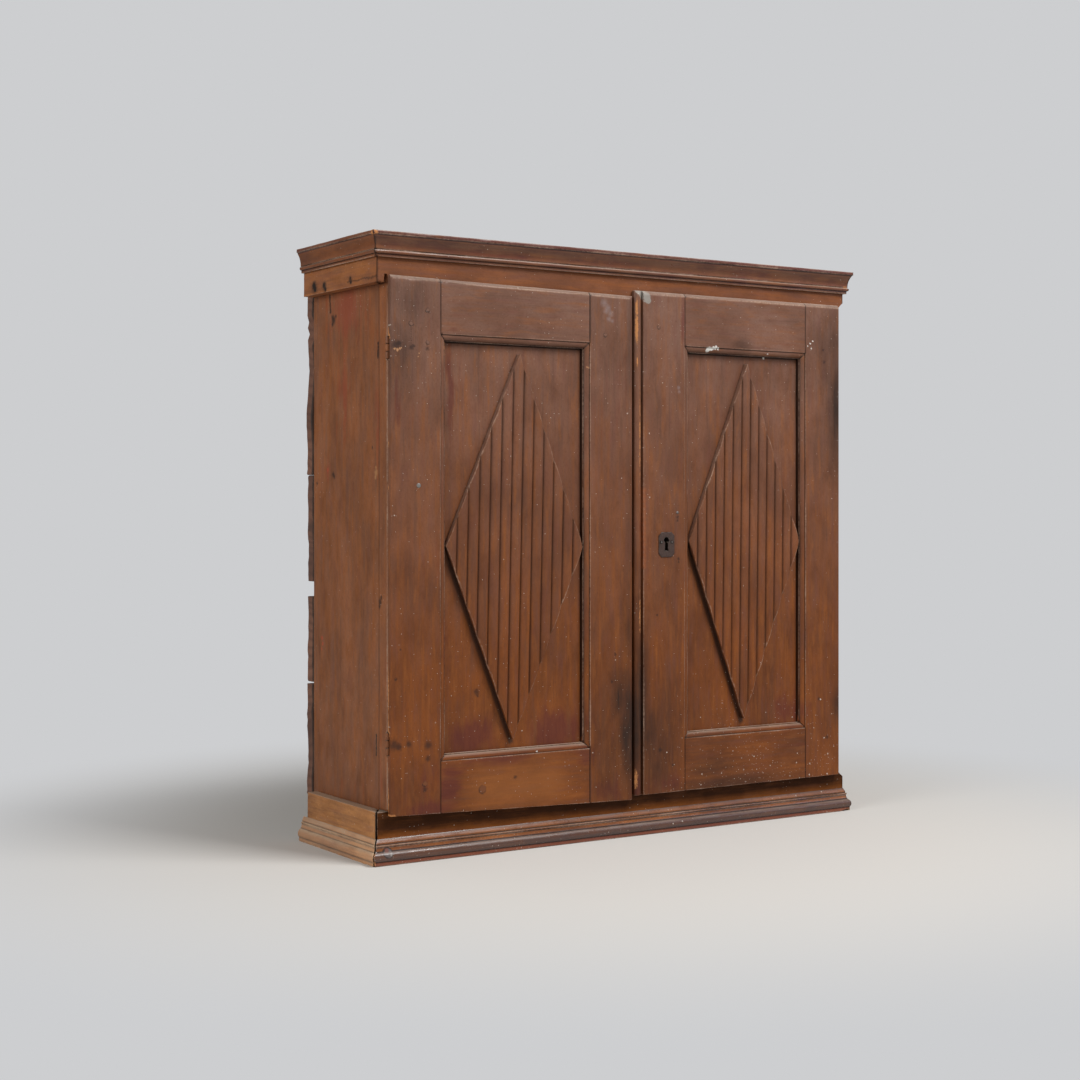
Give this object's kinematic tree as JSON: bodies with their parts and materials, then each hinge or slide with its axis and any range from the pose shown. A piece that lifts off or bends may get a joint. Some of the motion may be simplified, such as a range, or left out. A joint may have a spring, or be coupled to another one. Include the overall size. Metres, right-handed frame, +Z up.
{
  "type": "wall cabinet",
  "caption": "Painted wooden wall cabinet with a moulded cornice and base, lipped panel doors carrying tall reeded lozenges, an iron keyhole plate, and shelves behind the hinged doors.",
  "frame": {"origin": "floor level, in the middle of the cabinet's width and depth", "axes": "+Z up, -Y out of the doors, +X to the right of someone facing the doors"},
  "size_m": [0.864, 0.259, 0.86],
  "materials": {
    "brown_paint": "old brown paint worn to the wood on the edges",
    "bare_pine": "unpainted pine darkened with age",
    "iron": "dull wrought iron with light rust"
  },
  "bodies": {
    "carcass": {"side_left": "brown_paint", "side_right": "brown_paint", "edge_strip_left": "brown_paint", "edge_strip_right": "brown_paint", "frieze_front": "brown_paint", "frieze_left": "brown_paint", "frieze_right": "brown_paint", "plinth_front": "brown_paint", "plinth_left": "brown_paint", "plinth_right": "brown_paint", "cornice_front": "brown_paint", "cornice_left": "brown_paint", "cornice_right": "brown_paint", "base_moulding_front": "brown_paint", "base_moulding_left": "brown_paint", "base_moulding_right": "brown_paint", "top_board": "bare_pine", "bottom_board": "bare_pine", "shelf_lower": "bare_pine", "shelf_upper": "bare_pine", "shelf_cleats": "bare_pine", "back_board_1": "bare_pine", "back_board_2": "bare_pine", "back_board_3": "bare_pine", "back_board_4": "bare_pine", "back_board_5": "bare_pine", "hinge_leaves_left": "iron", "hinge_leaves_right": "iron"},
    "left_door": {"left_door_hinge_stile": "brown_paint", "left_door_meeting_stile": "brown_paint", "left_door_top_rail": "brown_paint", "left_door_bottom_rail": "brown_paint", "left_door_panel": "brown_paint", "left_door_lozenge": "brown_paint", "left_door_hinge_straps": "iron", "catch_plate": "iron"},
    "right_door": {"right_door_hinge_stile": "brown_paint", "right_door_meeting_stile": "brown_paint", "right_door_top_rail": "brown_paint", "right_door_bottom_rail": "brown_paint", "right_door_panel": "brown_paint", "right_door_lozenge": "brown_paint", "right_door_hinge_straps": "iron", "escutcheon": "iron", "escutcheon_nails": "iron", "lock_case": "iron"},
    "lock_slide": {"lock_bolt": "iron"},
    "catch_slide": {"catch_rod": "iron"}
  },
  "joints": [
    {"name": "left_door_hinge", "type": "hinge", "parent": "carcass", "child": "left_door", "pos_m": [-0.404, -0.1179, 0.433], "axis": [0, 0, 1], "range_deg": [-90, 0]},
    {"name": "right_door_hinge", "type": "hinge", "parent": "carcass", "child": "right_door", "pos_m": [0.404, -0.1179, 0.433], "axis": [0, 0, 1], "range_deg": [0, 90]},
    {"name": "lock_bolt_slide", "type": "slide", "parent": "right_door", "child": "lock_slide", "axis": [-1, 0, 0], "range_m": [0, 0.014]},
    {"name": "catch_rod_slide", "type": "slide", "parent": "left_door", "child": "catch_slide", "axis": [0, 0, 1], "range_m": [0, 0.014]}
  ]
}
